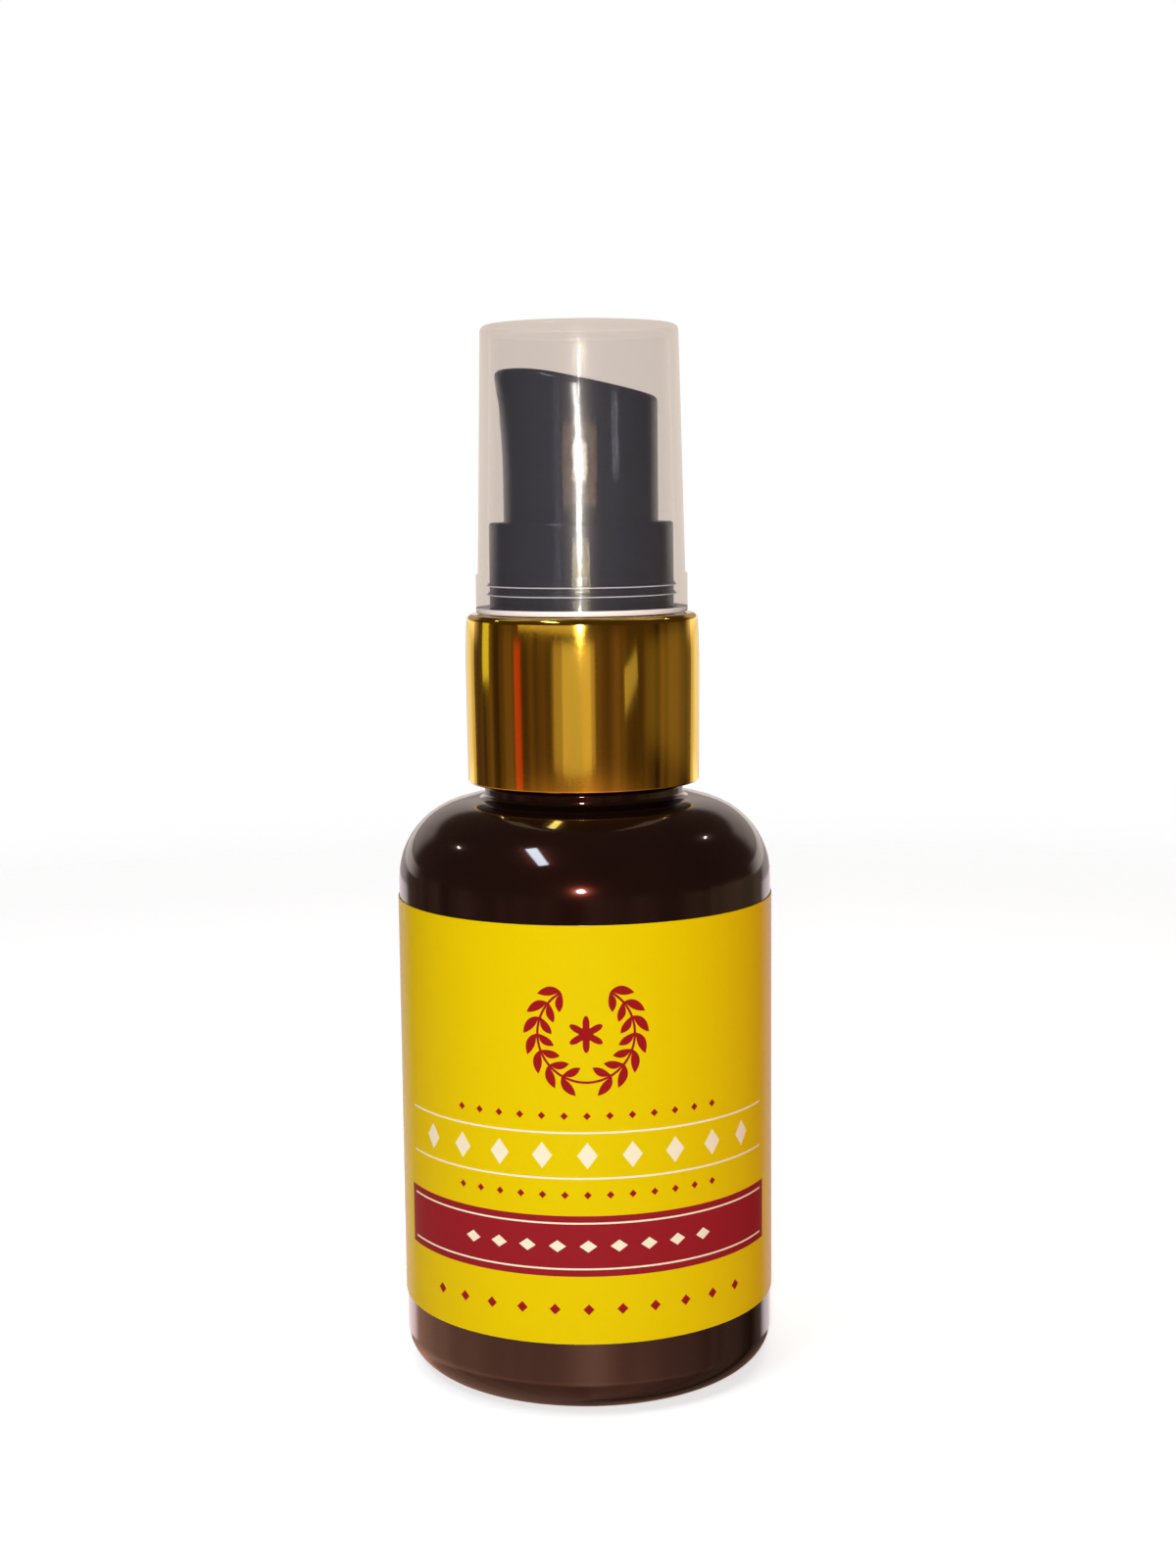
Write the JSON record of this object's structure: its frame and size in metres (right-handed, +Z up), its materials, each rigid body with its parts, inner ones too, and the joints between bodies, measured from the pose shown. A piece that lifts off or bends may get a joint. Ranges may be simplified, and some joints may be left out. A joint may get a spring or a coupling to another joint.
{
  "type": "pump bottle",
  "caption": "Round amber bottle with a wrap label, a gold screw collar and a black dispensing pump under a clear pull-off overcap.",
  "frame": {"origin": "middle of the ring that the bottle stands on", "axes": "+Z up along the bottle's axis, -Y out of the label's middle, -X the way the nozzle points"},
  "size_m": [0.0382, 0.0381, 0.1059],
  "materials": {
    "amber_bottle": "glossy dark amber",
    "label_film": "satin printed film",
    "black_plastic": "satin",
    "gold_metal": "bright gold anodised",
    "white_plastic": "satin",
    "natural_plastic": "satin, slightly cloudy",
    "soft_plastic": "soft satin",
    "spring_steel": "drawn wire",
    "polished_steel": "polished",
    "tube_plastic": "cloudy extruded tube",
    "gloss_black": "gloss",
    "clear_plastic": "clear, slightly cloudy"
  },
  "bodies": {
    "bottle": {"bottle": "amber_bottle", "label": "label_film"},
    "pump": {"pump_housing": "natural_plastic", "chaplet": "gloss_black", "stem_guide": "white_plastic", "gasket": "white_plastic", "dip_tube": "tube_plastic", "return_spring": "spring_steel"},
    "closure": {"closure": "black_plastic", "collar_shell": "gold_metal"},
    "stem": {"stem": "white_plastic", "poppet": "white_plastic"},
    "piston": {"piston": "soft_plastic"},
    "ball": {"check_ball": "polished_steel"},
    "actuator": {"actuator": "gloss_black"},
    "overcap": {"overcap": "clear_plastic"}
  },
  "joints": [
    {"name": "pump_lift", "type": "slide", "parent": "bottle", "child": "pump", "axis": [0, 0, 1], "range_m": [0, 0.00477]},
    {"name": "closure_turn", "type": "hinge", "parent": "pump", "child": "closure", "pos_m": [0, 0, 0.0685], "axis": [0, 0, 1], "range_deg": [0, 540]},
    {"name": "pump_stroke", "type": "slide", "parent": "pump", "child": "stem", "axis": [0, 0, 1], "range_m": [-0.0042, 0], "stiffness_N_per_m": 400, "springref_m": 0.001, "deforming": ["return_spring"]},
    {"name": "actuator_swivel", "type": "hinge", "parent": "stem", "child": "actuator", "pos_m": [0, 0, 0.0875], "axis": [0, 0, 1], "continuous": true},
    {"name": "piston_slip", "type": "slide", "parent": "stem", "child": "piston", "axis": [0, 0, 1], "range_m": [0, 0.0006]},
    {"name": "ball_lift", "type": "slide", "parent": "pump", "child": "ball", "axis": [0, 0, 1], "range_m": [0, 0.001]},
    {"name": "overcap_lift", "type": "slide", "parent": "pump", "child": "overcap", "axis": [0, 0, 1], "range_m": [0, 0.03]}
  ],
  "couplings": [
    {"joint": "pump_lift", "follows": "closure_turn", "m_per_rad": 0.00050532}
  ]
}
